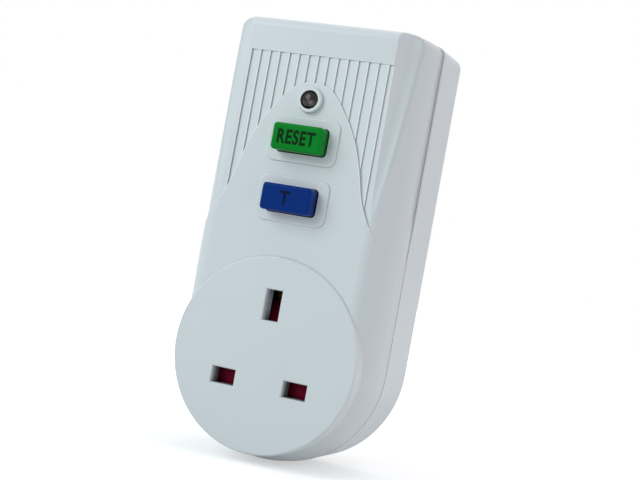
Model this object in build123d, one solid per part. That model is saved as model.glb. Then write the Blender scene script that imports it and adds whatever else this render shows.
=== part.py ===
from build123d import *
import os

# Plug-through residual current adapter for flat-pin mains sockets.
# X runs to the right seen from the front, Y from the front into the wall, Z up.
# The origin is on the wall face, midway between the live and neutral pins.

# Housing
body_width = 61.0
body_depth = 41.0
body_top = 103.5
round_centre = 8.0
front_shell_depth = 18.5
wall = 2.0
shoulder_across = 7.4
shoulder_draft = 0.2
seam_land = 1.5
rear_draft = 0.3
rear_round = 4.5
top_round = 2.8
seam_groove = 0.35
lip_height = 1.6
lip_clearance = 0.1

# Ribbed upper field and the smooth arch below it
field_crown = 0.45
field_side_step = 0.35
crown_middle_share = 0.2
rib_pitch = 3.03
rib_depth = 0.6
rib_crest = 0.08
rib_margin = 1.0
rib_top_drop = 9.8
arch_rise = 5.1
arch_drop = 45.0
arch_overhang = 0.5
scoop_drop = 40.0
scoop_foot_radius = 1.0
scoop_head_radius = 8.0
scoop_head_across = 7.3
scoop_head_ahead = 1.1

# Socket face
disc_inset = 2.5
disc_raise = 0.8
disc_wall_depth = 9.5
disc_edge = 0.6
disc_wall = 1.2
pin_pitch = 22.2
blade_slot_width = 7.2
blade_slot_height = 4.6
earth_slot_width = 4.8
earth_slot_height = 8.8
slot_bevel = 0.3

# Plug pins
blade_width = 6.35
blade_height = 4.0
blade_length = 17.7
earth_width = 4.0
earth_height = 8.0
earth_length = 22.7
pin_bevel = 0.8
sleeve_length = 9.4
sleeve_wall = 0.45
pin_boss_depth = 6.0
pin_boss_wall = 1.8
pin_fit = 0.05
pin_tail_length = 4.0

# Buttons and indicator
test_height = 52.2
button_pitch = 17.1
button_width = 15.0
button_height = 7.6
button_raise = 5.5
button_gap = 0.25
button_edge = 0.7
button_corner = 1.0
flange_border = 1.6
flange_thickness = 1.2
flange_gap = 0.1
reset_travel = 2.5
test_travel = 2.0
plinth_width = 21.4
plinth_height = 13.1
plinth_raise = 0.6
plinth_corner = 2.6
plinth_edge = 0.35
indicator_pitch = 11.6
indicator_ring_radius = 3.7
indicator_ring_raise = 1.3
lens_radius = 2.6
lens_gap = 0.1

# Screws
screw_radius = 1.5
screw_head_radius = 2.7
screw_head_height = 1.8
screw_grip = 6.5
screw_clearance = 0.2
pilot_spare = 1.0
post_radius = 3.2
screw_well_depth = 11.0
screw_well_wall = 1.5
upper_screw_inset = 9.0
lower_screw_inset = 7.1
lower_screw_rise = 6.0
bottom_screw_inset = 6.3

# Socket insert, shutter and base
insert_inset = 4.6
guide_inset = 2.5
insert_foot_drop = 20.9
insert_fit = 0.1
plate_thickness = 3.0
guide_depth = 4.0
base_depth = 13.8
base_web = 1.5
post_clearance = 0.4
shutter_thickness = 2.4
shutter_side = 4.6
shutter_half_height = 3.4
shutter_stem_half = 4.0
shutter_gap = 0.2
shutter_travel = 5.9
shutter_ramp_depth = 6.0
shutter_brace_low = 9.0
shutter_brace_high = 6.0
base_prop_width = 2.4
base_prop_height = 4.0
base_prop_drop = 7.5
jaw_room = 1.0

# Circuit board
board_inset = 7.5
board_foot_gap = 2.5
board_top_drop = 13.5
board_depth = 18.4
board_thickness = 1.6
board_screw_side = 3.5
board_screw_end = 6.0
board_screw_grip = 6.0

# Straps and contact jaws
strap_thickness = 0.8
strap_width = 4.0
strap_turn_rise = 0.5
load_strap_rise = 3.5
earth_bar_thickness = 2.0
earth_bar_width = 5.0
earth_foot_width = 4.8
core_strap_offset = 2.1
core_strap_width = 2.6
jaw_flare = 0.9
jaw_lead = 2.2
jaw_squeeze = 0.4
blade_jaw_spread = 6.6
blade_jaw_width = 7.6
earth_jaw_spread = 6.2

# Current transformer
core_outer = 8.2
core_bore = 4.6
core_rise = 5.0
core_thickness = 8.0
core_depth = 10.4
winding_turns = 12
winding_wire = 0.9

# Button chassis, contact carrier and contacts
chassis_depth = 8.6
chassis_wall = 1.5
chassis_half = 14.0
chassis_foot_drop = 5.6
chassis_top_rise = 7.5
chassis_divide_gap = 4.0
reset_stem = 3.0
test_stem = 2.2
stem_clearance = 0.2
carrier_depth = 11.4
carrier_thickness = 2.0
carrier_drop = 5.3
carrier_rise = 5.1
carrier_half = 11.6
contact_across = 7.6
contact_inset = 2.2
contact_radius = 1.4
contact_button = 0.8
bridge_half = 1.7
bridge_thickness = 0.8
touch_gap = 0.1

# Trip latch and solenoid
plunger_across = 9.0
plunger_depth = 12.4
plunger_radius = 1.5
plunger_reach = 6.0
latch_half = 3.0
latch_thickness = 1.6
latch_bar = 1.6
latch_gap = 0.5
latch_travel = 1.3
spring_room = 0.8
solenoid_half = 4.4
solenoid_plate = 1.0
bobbin_length = 6.4
bobbin_flange = 4.5
bobbin_flange_thickness = 0.6
bobbin_tube = 2.2
bobbin_bore = 1.6

# Test contact
test_strip_thickness = 0.3
test_strip_width = 3.6
test_strip_gap = 0.15
test_strip_reach = 11.6
test_strip_foot = 3.2
test_strip_slope = 3.0
test_strip_tip = 3.2
test_stem_depth = 12.3

# Springs
spring_gap = 0.05
shutter_coil = 1.35
shutter_wire = 0.25
shutter_spring_length = 2.4
reset_coil = 4.2
reset_wire = 0.3
test_coil = 3.2
test_wire = 0.25
carrier_coil = 2.4
plunger_coil = 2.1
plunger_wire = 0.17

# Parts soldered to the board, each placed across from the middle and down from the board's top
lamp_radius = 1.5
lamp_length = 4.0
chip_place = (-9.0, 4.0)
chip_size = (6.2, 5.0, 1.8)
chip_pitch = 1.27
thyristor_place = (-13.0, 15.0)
thyristor_size = (4.6, 3.6, 4.6)
capacitor_place = (-12.0, 28.0)
capacitor_size = (13.0, 6.0, 11.0)
varistor_place = (12.0, 24.0)
varistor_radius = 5.0
varistor_thickness = 4.0
diode_place = (8.0, 18.0)
diode_pitch = 3.4
diode_radius = 1.2
diode_length = 4.2
resistor_place = (0.0, 3.0)
resistor_radius = 1.6
resistor_length = 9.0
lead = 0.6

# Places worked out from the sizes above
front_y = -body_depth
seam_y = front_y + front_shell_depth
half_width = body_width / 2
shoulder_deep = front_shell_depth - seam_land
flat_half = half_width - shoulder_draft - shoulder_across
ribs_each_side = int((flat_half - rib_margin) / rib_pitch)
rib_top = body_top - rib_top_drop
reset_height = test_height + button_pitch
indicator_height = reset_height + indicator_pitch
arch_apex = indicator_height + arch_rise
arch_foot = arch_apex - arch_drop
disc_radius = half_width - disc_inset
insert_radius = disc_radius - insert_inset
guide_radius = disc_radius - guide_inset
insert_foot = round_centre - insert_foot_drop
well_radius = screw_head_radius + screw_well_wall
disc_y = front_y - disc_raise
plate_y = front_y + disc_wall
guide_y = plate_y + plate_thickness
base_y = guide_y + guide_depth
base_back_y = base_y + base_depth
board_y = front_y + board_depth
board_back_y = board_y + board_thickness
board_width = body_width - 2 * board_inset
board_foot = round_centre + guide_radius + board_foot_gap
board_top = body_top - board_top_drop
inner_y = front_y + wall
shutter_front = guide_y + shutter_gap
shutter_spring_y = shutter_front + 1.6
shutter_foot = -shutter_half_height
shutter_half_width = pin_pitch / 2 + shutter_side
track_foot = shutter_foot - shutter_travel - shutter_gap
spring_foot = track_foot - shutter_spring_length
chassis_front = front_y + chassis_depth
chassis_foot = test_height - chassis_foot_drop
chassis_top = reset_height + chassis_top_rise
carrier_low = reset_height - carrier_drop
carrier_high = reset_height + carrier_rise
chassis_divide = carrier_low - chassis_divide_gap
carrier_front = front_y + carrier_depth
carrier_back = carrier_front + carrier_thickness
contact_places = [carrier_low + contact_inset, carrier_high - contact_inset]
flange_front = inner_y + flange_gap
flange_back = flange_front + flange_thickness
test_end = front_y + test_stem_depth
core_y = -core_depth
core_foot = board_foot + core_rise
core_top = core_foot + core_thickness
plunger_y = front_y + plunger_depth
latch_low = chassis_top + latch_gap
latch_high = latch_low + latch_bar
latch_tip = carrier_high + stem_clearance
solenoid_foot = latch_high + latch_travel + spring_room
bobbin_low = solenoid_foot + solenoid_plate
bobbin_high = bobbin_low + bobbin_length
screw_places = [
    (upper_screw_inset - half_width, body_top - upper_screw_inset),
    (half_width - upper_screw_inset, body_top - upper_screw_inset),
    (lower_screw_inset - half_width, round_centre + lower_screw_rise),
    (half_width - lower_screw_inset, round_centre + lower_screw_rise),
    (0, round_centre - half_width + bottom_screw_inset),
]
board_screw_places = [
    (side * (board_width / 2 - board_screw_side), height)
    for side in (-1, 1)
    for height in (board_foot + board_screw_end, board_top - board_screw_end)
]


# A plane that faces the viewer, at a given depth, with X to the right and Z up
def facing(y, x=0, z=0):
    return Plane(origin=(x, y, z), x_dir=(1, 0, 0), z_dir=(0, -1, 0))


# A solid of a face drawn from the front, from y_front back to y_back
def slab(face, y_front, y_back, x=0, z=0):
    return extrude(facing(y_back, x, z) * face, amount=y_back - y_front, dir=(0, -1, 0))


def block(x_low, x_high, y_low, y_high, z_low, z_high):
    centre = ((x_low + x_high) / 2, (y_low + y_high) / 2, (z_low + z_high) / 2)
    return Pos(*centre) * Box(x_high - x_low, y_high - y_low, z_high - z_low)


# A round bar along Y
def bar_y(radius, y_front, y_back, x=0, z=0):
    return slab(Circle(radius), y_front, y_back, x, z)


# A round bar along Z
def bar_z(radius, z_low, z_high, x=0, y=0):
    return Pos(x, y, z_low) * extrude(Circle(radius), amount=z_high - z_low)


# The section of a bent metal strip: its middle line, given a thickness
def strip_face(points, thickness):
    lines = [
        (Vector(*b) - Vector(*a)).normalized()
        for a, b in zip(points, points[1:])
    ]
    near = []
    far = []
    for index, point in enumerate(points):
        before = lines[max(index - 1, 0)]
        after = lines[min(index, len(lines) - 1)]
        normal = (before + after).normalized().rotate(Axis.Z, 90)
        reach = thickness / 2 / abs(normal.dot(after.rotate(Axis.Z, 90)))
        near.append(Vector(*point) + normal * reach)
        far.append(Vector(*point) - normal * reach)
    return make_face(Polyline(*near, *reversed(far), close=True))


# A coil spring along Z, from z = 0 up to its height, with its end turns closed by the pitch alone
def coil(mean_radius, wire_radius, height, turns):
    rise = height - 2 * wire_radius
    path = Pos(0, 0, wire_radius) * Helix(pitch=rise / turns, height=rise, radius=mean_radius)
    start = Plane(origin=path @ 0, z_dir=path % 0)
    return sweep(start * Circle(wire_radius), path=path, is_frenet=True)


# Half of the front housing's plan, from its middle to the right-hand side and back to the seam,
# drawn inset by a wall. The crown bows the front and the side step draws the side in
def front_plan(inset, crown=0.0, side_step=0.0, reach=0.0):
    front_middle = (0, front_y + inset + crown * crown_middle_share)
    shoulder_start = (flat_half, front_y + inset + crown)
    shoulder_end = (flat_half + shoulder_across - inset - side_step, front_y + shoulder_deep)
    seam = (half_width - inset - side_step * crown_middle_share, seam_y + reach)
    if crown > 0:
        front = TangentArc(front_middle, shoulder_start, tangent=(1, 0))
    else:
        front = Line(front_middle, shoulder_start)
    shoulder = EllipticalCenterArc(
        (flat_half, front_y + shoulder_deep),
        shoulder_end[0] - flat_half,
        shoulder_deep - inset - crown,
        start_angle=-90,
        arc_size=90,
    )
    middle = (0, seam_y + reach)
    return make_face([front, shoulder, *Polyline(shoulder_end, seam, middle, front_middle).edges()])


# Half of the rear housing's plan, from the seam to the wall face
def rear_plan(inset, reach=0.0):
    corner = half_width - rear_draft - rear_round
    seam = (half_width - inset, seam_y - reach)
    side = (corner + rear_round - inset, -rear_round)
    back = (corner, -inset)
    back_round = CenterArc((corner, -rear_round), rear_round - inset, 0, 90)
    middle = (0, seam_y - reach)
    return make_face([back_round, *Polyline(back, (0, -inset), middle, seam, side).edges()])


# A half plan turned about the axis of the round end and drawn up to the flat top
def drawn_form(half, inset, open_y):
    placed = Pos(0, 0, round_centre) * half
    turned = revolve(placed, Axis((0, 0, round_centre), (0, 1, 0)), 180)
    drawn = extrude(placed, amount=body_top - inset - round_centre)
    whole = turned + drawn + mirror(drawn, Plane.YZ)
    if inset >= top_round:
        return whole
    rim = whole.faces().sort_by(Axis.Z)[-1].outer_wire().edges()
    rim = rim.filter_by(lambda edge: abs(edge.center().Y - open_y) > 0.01)
    return fillet(rim, top_round - inset)


# A straight-sided slice of the housing's outline, drawn inset
def band(inset, y_front, y_back):
    side = half_width - inset
    outline = Polyline((0, y_front), (side, y_front), (side, y_back), (0, y_back), close=True)
    placed = Pos(0, 0, round_centre) * make_face(outline)
    turned = revolve(placed, Axis((0, 0, round_centre), (0, 1, 0)), 180)
    drawn = extrude(placed, amount=body_top - inset - round_centre)
    whole = turned + drawn + mirror(drawn, Plane.YZ)
    corners = whole.edges().filter_by(Axis.Y).sort_by(Axis.Z)[-2:]
    return fillet(corners, max(top_round - inset, 0.3))


# Everything under the arch line, which is smooth
def arch_region():
    right = [
        (9.6, arch_apex - 5.8),
        (15.3, arch_apex - 15.0),
        (18.7, arch_apex - 25.0),
        (21.6, arch_apex - 34.0),
        (25.4, arch_apex - 40.8),
    ]
    foot = (half_width + arch_overhang, arch_foot)
    curve = Spline((0, arch_apex), *right, foot, tangents=[(1, 0), (1, -0.3)])
    bottom = round_centre - half_width - arch_overhang
    rest = Polyline(foot, (foot[0], bottom), (0, bottom), (0, arch_apex))
    half = make_face([curve, *rest.edges()])
    whole = half + mirror(half, Plane.YZ)
    return slab(whole, front_y - 1, seam_y)


# How far the upper field lies behind the flat front at a distance from the middle
def field_sag(x):
    middle = field_crown * crown_middle_share
    return middle + (field_crown - middle) * (x / flat_half) ** 2


# The saw-tooth facets: each strip starts deep beside a line and rises to the next line
def rib_cut():
    profile = [(-ribs_each_side * rib_pitch, front_y - 1)]
    for count in range(-ribs_each_side, ribs_each_side + 1):
        low = count * rib_pitch
        high = low + rib_pitch
        profile.append((low, front_y + field_sag(low) + rib_depth))
        profile.append((high, front_y + field_sag(high) + rib_crest))
    profile.append((profile[-1][0], front_y - 1))
    teeth = make_face(Polyline(*profile, close=True))
    return extrude(Pos(0, 0, arch_foot) * teeth, amount=rib_top - arch_foot, dir=(0, 0, 1))


# The hollows beside the panel's edges, which widen and deepen towards the top. A spare makes
# the wall behind each one
def scoops(spare=0.0):
    foot_x = flat_half + scoop_foot_radius / 2
    foot_y = front_y - scoop_foot_radius
    foot = Pos(foot_x, foot_y, arch_apex - scoop_drop) * Circle(scoop_foot_radius + spare)
    head_x = flat_half + scoop_head_across
    head_y = front_y - scoop_head_ahead
    head = Pos(head_x, head_y, body_top + 2) * Circle(scoop_head_radius + spare)
    right = loft([foot, head], ruled=True)
    return [right, mirror(right, Plane.YZ)]


def front_form():
    full = drawn_form(front_plan(0), 0, seam_y)
    field = drawn_form(front_plan(0, field_crown, field_side_step), 0, seam_y)
    smooth = arch_region()
    return field - (rib_cut() - smooth) + (full & smooth) - scoops()


# One raised plinth round a button
def plinth(height):
    face = RectangleRounded(plinth_width, plinth_height, plinth_corner)
    raised = slab(face, front_y - plinth_raise, front_y + 1, z=height)
    return fillet(raised.faces().sort_by(Axis.Y)[0].edges(), plinth_edge)


def button_window(height):
    width = button_width + 2 * button_gap
    tall = button_height + 2 * button_gap
    face = RectangleRounded(width, tall, button_corner + button_gap)
    return slab(face, front_y - 3, front_y + 5, z=height)


def slot_cut(width, height, x, z, y_back):
    shaft = slab(Rectangle(width, height), disc_y - 1, y_back, x, z)
    mouth_face = facing(disc_y, x, z) * Rectangle(width + 2 * slot_bevel, height + 2 * slot_bevel)
    mouth = extrude(mouth_face, amount=-slot_bevel, taper=45)
    return shaft + mouth


# The three pin openings of the socket face
def slots(y_back, extra=0.0):
    blade = (blade_slot_width + extra, blade_slot_height + extra)
    return [
        slot_cut(*blade, -pin_pitch / 2, 0, y_back),
        slot_cut(*blade, pin_pitch / 2, 0, y_back),
        slot_cut(earth_slot_width + extra, earth_slot_height + extra, 0, pin_pitch, y_back),
    ]


def front_housing():
    disc = bar_y(disc_radius, disc_y, front_y + disc_wall_depth, z=round_centre)
    disc = fillet(disc.faces().sort_by(Axis.Y)[0].edges(), disc_edge)
    ring = bar_y(indicator_ring_radius, front_y - indicator_ring_raise, front_y + 1, z=indicator_height)
    ring = fillet(ring.faces().sort_by(Axis.Y)[0].edges(), plinth_edge)
    shell = front_form() + disc + plinth(reset_height) + plinth(test_height) + ring
    groove_front = seam_y - seam_groove
    shell = shell - (band(-1, groove_front, seam_y + 1) - band(seam_groove, groove_front - 1, seam_y + 2))
    shell = shell - (drawn_form(front_plan(wall, reach=1), wall, seam_y + 1) - scoops(wall))
    shell = shell - band((wall - lip_clearance) / 2, seam_y - lip_height - lip_clearance, seam_y + 1)
    shell = shell - bar_y(insert_radius + insert_fit, plate_y, inner_y + 1, z=round_centre)
    hollow = drawn_form(front_plan(wall / 2), wall / 2, seam_y) - scoops(wall / 2)
    for x, z in screw_places:
        shell = shell + (bar_y(post_radius, front_y + 1.2, seam_y, x, z) & hollow)
    for x, z in board_screw_places:
        shell = shell + bar_y(post_radius, inner_y - 0.2, board_y, x, z)
        shell = shell - bar_y(screw_radius, board_y - board_screw_grip - pilot_spare, board_y, x, z)
    for x, z in screw_places:
        shell = shell - bar_y(screw_radius, seam_y - screw_grip - pilot_spare, seam_y, x, z)
    shell = shell - button_window(reset_height) - button_window(test_height)
    shell = shell - bar_y(lens_radius + lens_gap, front_y - 3, front_y + 5, z=indicator_height)
    return shell - slots(plate_y + 1)


def rear_housing():
    lip = band((wall + lip_clearance) / 2, seam_y - lip_height, seam_y + 1)
    shell = drawn_form(rear_plan(0), 0, seam_y) + lip
    shell = shell - drawn_form(rear_plan(wall, reach=lip_height + 1), wall, seam_y - lip_height - 1)
    inside = drawn_form(rear_plan(wall / 2), wall / 2, seam_y)
    for x, z in screw_places:
        shell = shell - bar_y(post_radius + post_clearance, seam_y - lip_height - 1, seam_y, x, z)
        shell = shell + (bar_y(well_radius, seam_y, -wall / 2, x, z) & inside)
        shell = shell - bar_y(screw_head_radius + screw_clearance, -screw_well_depth, 1, x, z)
        shell = shell - bar_y(screw_radius + screw_clearance, seam_y - 1, 0, x, z)
    for x in (-pin_pitch / 2, pin_pitch / 2):
        boss = Rectangle(blade_width + 2 * pin_boss_wall, blade_height + 2 * pin_boss_wall)
        shell = shell + slab(boss, -pin_boss_depth, -wall / 2, x, 0)
        hole = Rectangle(blade_width + 2 * pin_fit, blade_height + 2 * pin_fit)
        shell = shell - slab(hole, -pin_boss_depth - 1, 1, x, 0)
    boss = Rectangle(earth_width + 2 * pin_boss_wall, earth_height + 2 * pin_boss_wall)
    shell = shell + slab(boss, -pin_boss_depth, -wall / 2, 0, pin_pitch)
    hole = Rectangle(earth_width + 2 * pin_fit, earth_height + 2 * pin_fit)
    shell = shell - slab(hole, -pin_boss_depth - 1, 1, 0, pin_pitch)
    for x in (-pin_pitch / 2, pin_pitch / 2):
        shell = shell + base_prop(x)
    return shell


# A prop from the rear wall that holds the socket base forward
def base_prop(x):
    prop = Rectangle(base_prop_width, base_prop_height)
    return slab(prop, base_back_y, -wall / 2, x, -base_prop_drop)


# The cross recess in a screw head
def screw_recess(seat, x, z):
    cross = Rectangle(0.7, 3.4) + Rectangle(3.4, 0.7)
    return slab(cross, seat + screw_head_height - 1, seat + screw_head_height + 1, x, z)


def housing_screws():
    screws = []
    seat = -screw_well_depth
    for x, z in screw_places:
        head = bar_y(screw_head_radius, seat, seat + screw_head_height, x, z)
        shank = bar_y(screw_radius - 0.05, seam_y - screw_grip, seat, x, z)
        screws.append(head - screw_recess(seat, x, z) + shank)
    return Compound(screws)


def board_screws():
    screws = []
    seat = board_back_y
    for x, z in board_screw_places:
        head = bar_y(screw_head_radius, seat, seat + screw_head_height, x, z)
        shank = bar_y(screw_radius - 0.05, board_y - board_screw_grip, seat, x, z)
        screws.append(head - screw_recess(seat, x, z) + shank)
    return Compound(screws)


# A flat plug pin with a bevelled tip and a thinner tail for its strap
def plug_pin(width, height, length, x, z):
    pin = slab(Rectangle(width, height), -pin_boss_depth, length, x, z)
    pin = chamfer(pin.faces().sort_by(Axis.Y)[-1].edges(), pin_bevel)
    tail = Rectangle(width - 2, height - 1.6)
    return pin + slab(tail, -pin_boss_depth - pin_tail_length, -pin_boss_depth, x, z)


def sleeve_core():
    return Rectangle(blade_width - 2 * sleeve_wall, blade_height - 2 * sleeve_wall)


def blade_pin(x):
    pin = plug_pin(blade_width, blade_height, blade_length, x, 0)
    skin = Rectangle(blade_width + 1, blade_height + 1) - sleeve_core()
    return pin - slab(skin, 0, sleeve_length, x, 0)


def pin_sleeve(x):
    skin = Rectangle(blade_width, blade_height) - sleeve_core()
    return slab(skin, 0, sleeve_length, x, 0)


# The outline shared by the guide and the base, cleared round the screws' posts or wells
def insert_outline(radius, post):
    outline = Pos(0, round_centre) * Circle(radius)
    outline = outline & Pos(0, insert_foot + radius) * Rectangle(3 * radius, 2 * radius)
    for x, z in screw_places:
        outline = outline - Pos(x, z) * Circle(post + post_clearance)
    return outline


def socket_insert():
    plate = slab(insert_outline(insert_radius, post_radius), plate_y, guide_y)
    guide = slab(insert_outline(guide_radius, post_radius), guide_y, base_y)
    half = shutter_half_width + shutter_gap
    track_top = shutter_half_height + shutter_gap
    track = block(-half, half, guide_y, base_y + 1, track_foot, track_top)
    stem_half = shutter_stem_half + shutter_gap
    stem_top = pin_pitch + earth_slot_height / 2
    stem_track = block(-stem_half, stem_half, guide_y, base_y + 1, 0, stem_top)
    return plate + guide - track - stem_track - spring_pocket(guide_y, base_y + 1) - slots(guide_y + 1)


# The room for the shutter's spring, below the shutter
def spring_pocket(y_front, y_back):
    half = shutter_coil + shutter_wire + 0.6
    return block(-half, half, y_front, y_back, spring_foot, 0)


# The sliding shutter: a bar across the blade openings and a ramp in the earth opening
def shutter():
    front = shutter_front
    back = front + shutter_thickness
    half = shutter_half_width
    bar = block(-half, half, front, back, shutter_foot, shutter_half_height)
    bar = fillet(bar.edges().filter_by(Axis.Y), 0.6)
    ramp_foot = pin_pitch - earth_slot_height / 2
    ramp_back = front + shutter_ramp_depth
    stem_foot = shutter_half_height - 1
    profile = Polyline(
        (front, stem_foot),
        (front, ramp_foot),
        (ramp_back, ramp_foot + shutter_travel),
        (ramp_back, ramp_foot - shutter_brace_high),
        (back, ramp_foot - shutter_brace_low),
        (back, stem_foot),
        close=True,
    )
    stem = extrude(Plane.YZ * make_face(profile), amount=shutter_stem_half, both=True)
    nib = Pos(0, shutter_spring_y, shutter_foot - 0.6) * Box(1.2, 1.2, 1.2)
    return bar + stem + nib


def shutter_spring():
    top = shutter_foot - 2 * spring_gap
    turned = coil(shutter_coil, shutter_wire, top - spring_foot - spring_gap, 5)
    return Pos(0, shutter_spring_y, spring_foot + spring_gap) * turned


# The room behind a blade opening for its contact jaws
def blade_pocket(x):
    half = blade_jaw_width / 2 + jaw_room
    tall = blade_jaw_spread / 2 + jaw_flare + jaw_room / 2
    return block(x - half, x + half, base_y + base_web, base_back_y + 1, -tall, tall)


def socket_base():
    base = slab(insert_outline(guide_radius, well_radius), base_y, base_back_y)
    web_back = base_y + base_web + 1
    for x in (-pin_pitch / 2, pin_pitch / 2):
        base = base - blade_pocket(x)
        base = base - slab(Rectangle(blade_slot_width, blade_slot_height), base_y - 1, web_back, x, 0)
    stem_half = shutter_stem_half + shutter_gap
    channel_top = pin_pitch + earth_slot_height / 2
    channel_back = shutter_front + shutter_ramp_depth + shutter_gap
    base = base - block(-stem_half, stem_half, base_y - 1, channel_back, 2, channel_top)
    half = earth_height / 2 + jaw_room
    wide = earth_jaw_spread / 2 + jaw_flare + jaw_room / 2
    jaw_front = channel_back - 0.2
    base = base - block(-wide, wide, jaw_front, base_back_y + 1, pin_pitch - half, pin_pitch + half)
    return base - spring_pocket(base_y - 1, base_y + 0.4)


# A pair of sprung jaws bent from one strip, joined at the back, gripping a pin between them
def jaws(spread, grip, y_tip, y_back, width):
    lead_y = y_tip + jaw_lead
    straight_y = y_tip + 2 * jaw_lead
    flare = spread / 2 + jaw_flare
    pinch = grip / 2 + strap_thickness / 2
    path = [
        (y_tip, flare),
        (lead_y, pinch),
        (straight_y, spread / 2),
        (y_back, spread / 2),
        (y_back, -spread / 2),
        (straight_y, -spread / 2),
        (lead_y, -pinch),
        (y_tip, -flare),
    ]
    face = Plane.YZ * strip_face(path, strap_thickness)
    return extrude(face, amount=width / 2, both=True)


def blade_contact(x):
    y_tip = base_y + base_web + 0.6
    y_back = base_back_y - strap_thickness / 2
    grip = blade_height - jaw_squeeze
    return Pos(x, 0, 0) * jaws(blade_jaw_spread, grip, y_tip, y_back, blade_jaw_width)


def earth_contact():
    y_tip = shutter_front + shutter_ramp_depth + 1.4
    y_back = base_back_y - strap_thickness / 2
    grip = jaws(earth_jaw_spread, earth_width - jaw_squeeze, y_tip, y_back, earth_height)
    return Pos(0, 0, pin_pitch) * Rot(0, 90, 0) * grip


# The bar from the earth pin straight to the earth contact
def earth_strap():
    tail_front = -pin_boss_depth - pin_tail_length
    foot_top = pin_pitch + earth_height / 2 - strap_thickness
    bar = slab(Rectangle(earth_bar_thickness, earth_bar_width), base_back_y, tail_front, 0, pin_pitch)
    half = earth_foot_width / 2
    foot_back = base_back_y + strap_thickness
    return bar + block(-half, half, base_back_y, foot_back, pin_pitch - earth_height / 2, foot_top)


# The flat bar from a blade pin's tail up through the current transformer to the board
def supply_strap(side):
    y_back = -pin_boss_depth - pin_tail_length
    y_front = y_back - strap_thickness
    x = side * pin_pitch / 2
    inner = side * core_strap_offset
    tab_top = core_top + 4
    turn = board_foot + strap_turn_rise
    path = [(x, -1.2), (x, turn), (inner, turn), (inner, tab_top)]
    if side < 0:
        path = list(reversed(path))
    rise = slab(strip_face(path, core_strap_width), y_front, y_back)
    half = core_strap_width / 2
    tab_foot = tab_top - strap_thickness
    tab = block(inner - half, inner + half, board_back_y, y_front, tab_foot, tab_top)
    return rise + tab


# The flat bar from a socket contact's back up to the board
def load_strap(side):
    x = side * pin_pitch / 2
    top = board_foot + load_strap_rise
    half = strap_width / 2
    rise = block(x - half, x + half, base_back_y, base_back_y + strap_thickness, -1.5, top)
    tab = block(x - half, x + half, board_back_y, base_back_y, top - strap_thickness, top)
    return rise + tab


def circuit_board():
    middle = (board_foot + board_top) / 2
    face = Pos(0, middle) * Rectangle(board_width, board_top - board_foot)
    for x, z in board_screw_places:
        face = face - Pos(x, z) * Circle(screw_radius + screw_clearance)
    return slab(face, board_y, board_back_y)


def transformer_core():
    skin = winding_wire + 0.1
    ring = Circle(core_outer - skin) - Circle(core_bore + skin)
    core = Pos(0, core_y, core_foot + skin) * extrude(ring, amount=core_thickness - 2 * skin)
    return fillet(core.edges(), 0.4)


# The winding: turns of enamelled wire over the core, drawn as a row of separate loops
def transformer_winding():
    loops = []
    wide = core_outer - core_bore
    middle_radius = core_bore + wide / 2
    hollow = 2 * winding_wire
    loop = RectangleRounded(wide, core_thickness, 0.5)
    loop = loop - RectangleRounded(wide - hollow, core_thickness - hollow, 0.3)
    turn = Pos(middle_radius, 0, 0) * extrude(Plane.XZ * loop, amount=winding_wire / 2, both=True)
    step = 360 / winding_turns
    for count in range(winding_turns):
        angle = step * (count + 0.5)
        loops.append(Pos(0, core_y, core_foot + core_thickness / 2) * Rot(0, 0, angle) * turn)
    return Compound(loops)


# Button cap, retaining flange and stem as one moulding
def button(height, stem_radius, stem_back):
    cap_face = RectangleRounded(button_width, button_height, button_corner)
    cap = slab(cap_face, front_y - button_raise, flange_back, z=height)
    cap = fillet(cap.faces().sort_by(Axis.Y)[0].edges(), button_edge)
    width = button_width + 2 * flange_border
    tall = button_height + 2 * flange_border
    flange = slab(RectangleRounded(width, tall, 1.5), flange_front, flange_back, z=height)
    return cap + flange + bar_y(stem_radius, flange_front, stem_back, z=height)


# The moulded chassis on the board that guides both stems and the contact carrier
def button_chassis():
    front = chassis_front
    frame = block(-chassis_half, chassis_half, front, board_y, chassis_foot, chassis_top)
    half = chassis_half - chassis_wall
    inside = front + chassis_wall
    open_y = board_y + 1
    upper_foot = chassis_divide + chassis_wall
    frame = frame - block(-half, half, inside, open_y, upper_foot, chassis_top - chassis_wall)
    frame = frame - block(-half, half, inside, open_y, chassis_foot + chassis_wall, chassis_divide)
    frame = frame - bar_y(reset_stem + stem_clearance, front - 1, inside + 1, z=reset_height)
    frame = frame - bar_y(test_stem + stem_clearance, front - 1, inside + 1, z=test_height)
    slot_half = latch_half + 0.3
    slot_deep = latch_thickness / 2 + 0.3
    slot_foot = chassis_top - 2 * chassis_wall
    return frame - block(
        -slot_half, slot_half, plunger_y - slot_deep, plunger_y + slot_deep, slot_foot, chassis_top + 1
    )


def contact_carrier():
    plate = block(-carrier_half, carrier_half, carrier_front, carrier_back, carrier_low, carrier_high)
    return plate + bar_y(carrier_coil - 0.8, carrier_back, carrier_back + 1.2, z=reset_height)


# A contact bridge with a silver button at each end, under the carrier
def moving_contact(side):
    x = side * contact_across
    front = carrier_back
    back = front + bridge_thickness
    foot = carrier_low + 0.6
    top = carrier_high - 0.6
    bridge = block(x - bridge_half, x + bridge_half, front, back, foot, top)
    for z in contact_places:
        bridge = bridge + bar_y(contact_radius, back, back + contact_button, x, z)
    return bridge


# The pads on the board that a bridge closes against at the end of the carrier's travel
def fixed_contact(side):
    x = side * contact_across
    face_y = carrier_back + bridge_thickness + contact_button + reset_travel + touch_gap
    pad_front = (face_y + board_y) / 2
    pads = []
    for z in contact_places:
        pad = block(x - 1.9, x + 1.9, pad_front, board_y, z - 1.9, z + 1.9)
        pads.append(pad + bar_y(contact_radius, face_y, pad_front, x, z))
    return Compound(pads)


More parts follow.
